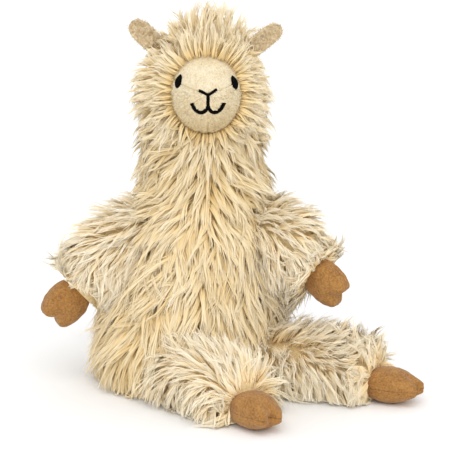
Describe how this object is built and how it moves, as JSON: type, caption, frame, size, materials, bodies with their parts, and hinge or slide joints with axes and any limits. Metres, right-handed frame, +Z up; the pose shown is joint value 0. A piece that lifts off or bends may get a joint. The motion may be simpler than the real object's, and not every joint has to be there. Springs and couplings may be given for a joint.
{
  "type": "plush llama",
  "caption": "Sitting plush llama with shaggy long pile, a short pile face, two ears and cloven suedette hooves on its arms and legs.",
  "frame": {"origin": "on the flat of the seat, straight below the neck, at floor height", "axes": "+Z up, -Y the way the face looks, +X the toy's own left side"},
  "size_m": [0.3035, 0.2235, 0.3052],
  "materials": {
    "body_pile": "long-pile plush, shaggy, matt",
    "limb_pile": "long-pile plush, pale, fluffy, matt",
    "face_pile": "short-pile plush, soft, matt",
    "ear_pile": "short-pile plush, taupe, matt",
    "eye_bead": "polished black",
    "embroidery": "black satin stitch, slight sheen",
    "suedette": "brushed suedette, napped"
  },
  "bodies": {
    "root": {"body": "body_pile", "arm_right": "limb_pile", "arm_left": "limb_pile", "leg_right": "limb_pile", "leg_left": "limb_pile", "forehead_panel": "face_pile", "cheek_right": "face_pile", "cheek_left": "face_pile", "ear_right": "ear_pile", "ear_left": "ear_pile", "eye_right": "eye_bead", "eye_left": "eye_bead", "nose_mouth_stitching": "embroidery", "hand_right_hoof_upper": "suedette", "hand_right_hoof_sole": "suedette", "hand_left_hoof_upper": "suedette", "hand_left_hoof_sole": "suedette", "foot_right_hoof_upper": "suedette", "foot_right_hoof_sole": "suedette", "foot_left_hoof_upper": "suedette", "foot_left_hoof_sole": "suedette"}
  },
  "joints": []
}
